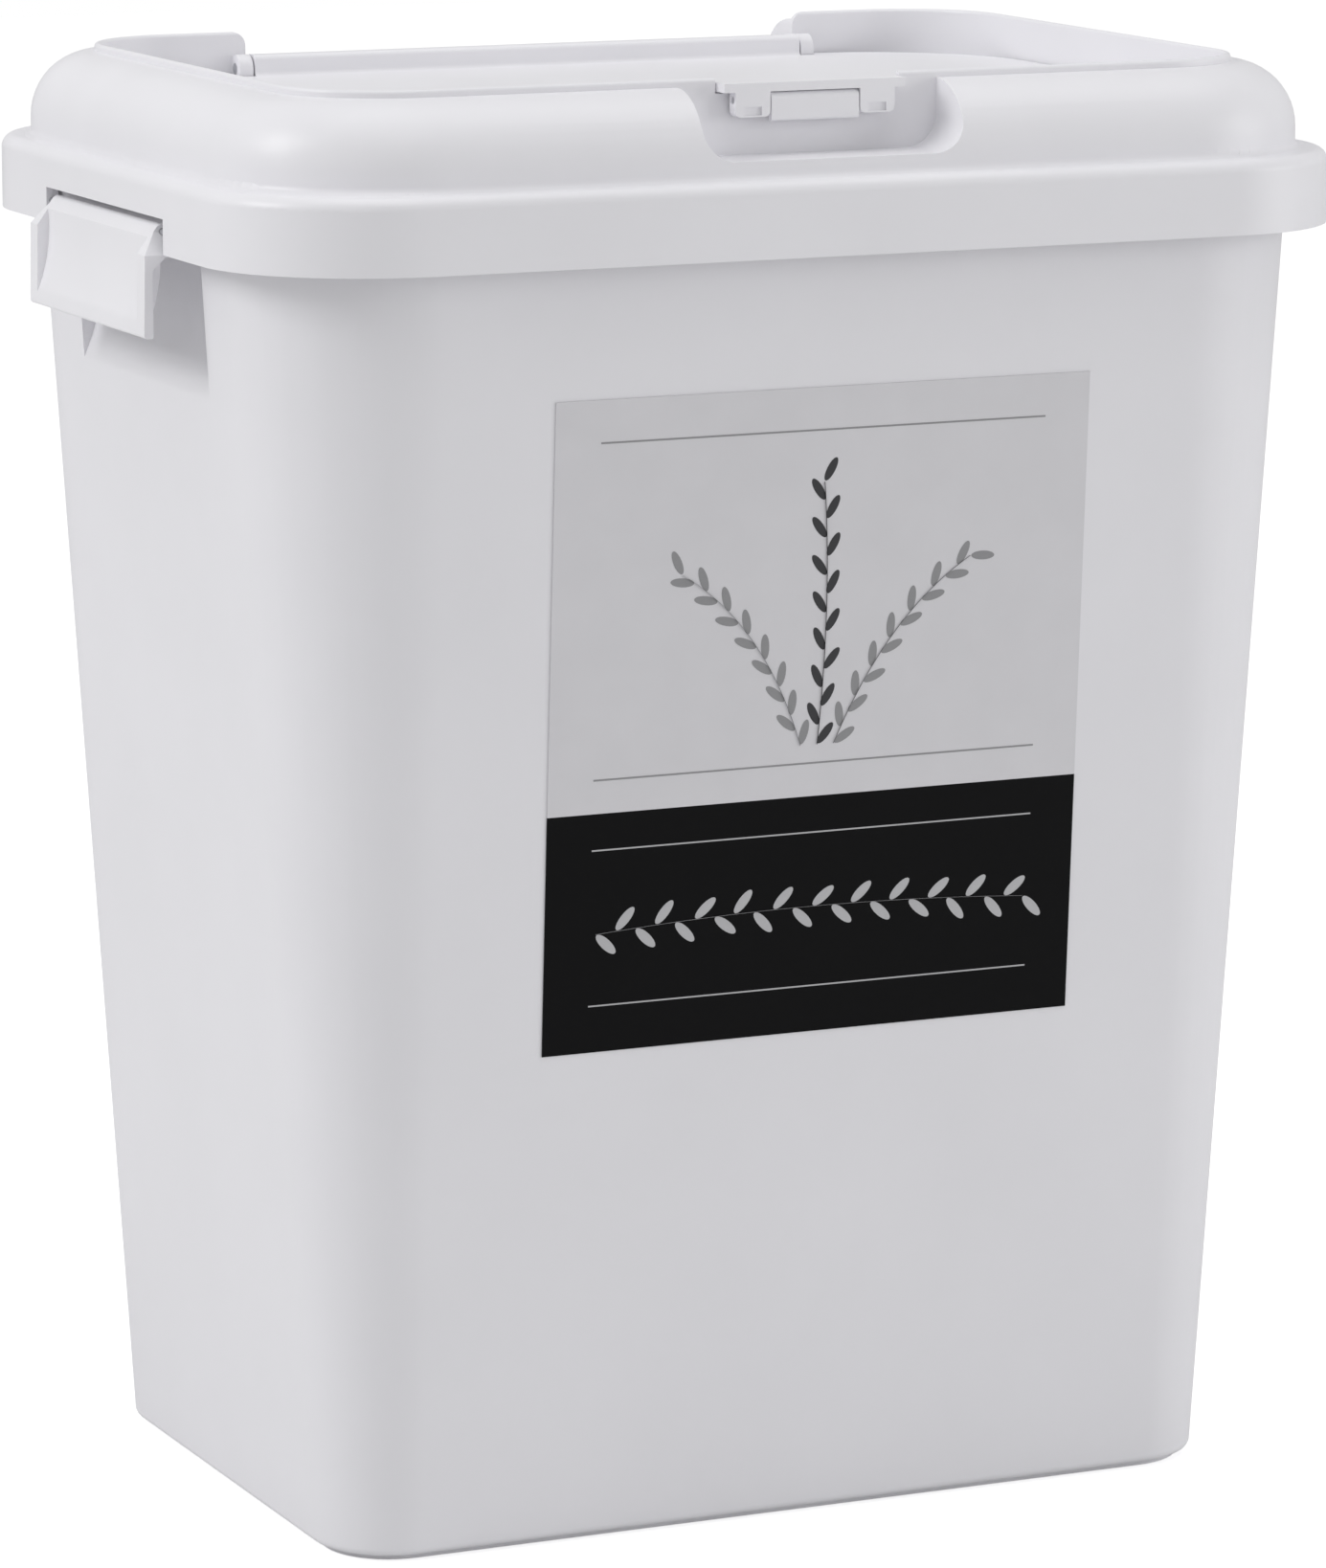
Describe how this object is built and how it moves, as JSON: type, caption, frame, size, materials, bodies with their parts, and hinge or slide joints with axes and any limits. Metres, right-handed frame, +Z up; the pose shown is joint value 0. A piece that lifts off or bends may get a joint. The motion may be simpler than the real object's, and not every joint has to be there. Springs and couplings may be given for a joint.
{
  "type": "rice bin with flip lid",
  "caption": "Tall drafted plastic rice bin with a clipped-on lid frame, side clips and a latched flip lid hinged at the back.",
  "frame": {"origin": "middle of the base, on the floor", "axes": "+Z up; the latch and the label face -Y; the hinge of the flip lid is at +Y; +X is to the right when facing the front"},
  "size_m": [0.413, 0.296, 0.486],
  "materials": {
    "bucket_plastic": "satin",
    "lid_plastic": "satin",
    "flip_plastic": "satin",
    "latch_plastic": "satin",
    "clip_plastic": "satin",
    "seal_rubber": "matt",
    "label_film": "satin print",
    "pin_steel": "ground"
  },
  "bodies": {
    "bucket_body": {"bucket": "bucket_plastic", "front_label": "label_film"},
    "lid_frame_body": {"lid_frame": "lid_plastic", "rim_seal": "seal_rubber", "hinge_pin_left": "pin_steel", "hinge_pin_right": "pin_steel", "clip_pins_left": "pin_steel", "clip_pins_right": "pin_steel"},
    "flip_lid_body": {"flip_lid": "flip_plastic", "flip_seal": "seal_rubber", "latch_pin": "pin_steel"},
    "front_latch_body": {"front_latch": "latch_plastic"},
    "left_clip_body": {"side_clip_left": "clip_plastic"},
    "right_clip_body": {"side_clip_right": "clip_plastic"}
  },
  "joints": [
    {"name": "lid_lift", "type": "slide", "parent": "bucket_body", "child": "lid_frame_body", "axis": [0, 0, 1], "range_m": [0, 0.12]},
    {"name": "flip_open", "type": "hinge", "parent": "lid_frame_body", "child": "flip_lid_body", "pos_m": [0, 0.1135, 0.4734], "axis": [-1, 0, 0], "range_deg": [0, 100]},
    {"name": "latch_swing", "type": "hinge", "parent": "flip_lid_body", "child": "front_latch_body", "pos_m": [0, -0.1222, 0.479], "axis": [-1, 0, 0], "range_deg": [0, 80]},
    {"name": "left_clip_swing", "type": "hinge", "parent": "lid_frame_body", "child": "left_clip_body", "pos_m": [-0.198, 0, 0.437], "axis": [0, 1, 0], "range_deg": [0, 75]},
    {"name": "right_clip_swing", "type": "hinge", "parent": "lid_frame_body", "child": "right_clip_body", "pos_m": [0.198, 0, 0.437], "axis": [0, -1, 0], "range_deg": [0, 75]}
  ]
}
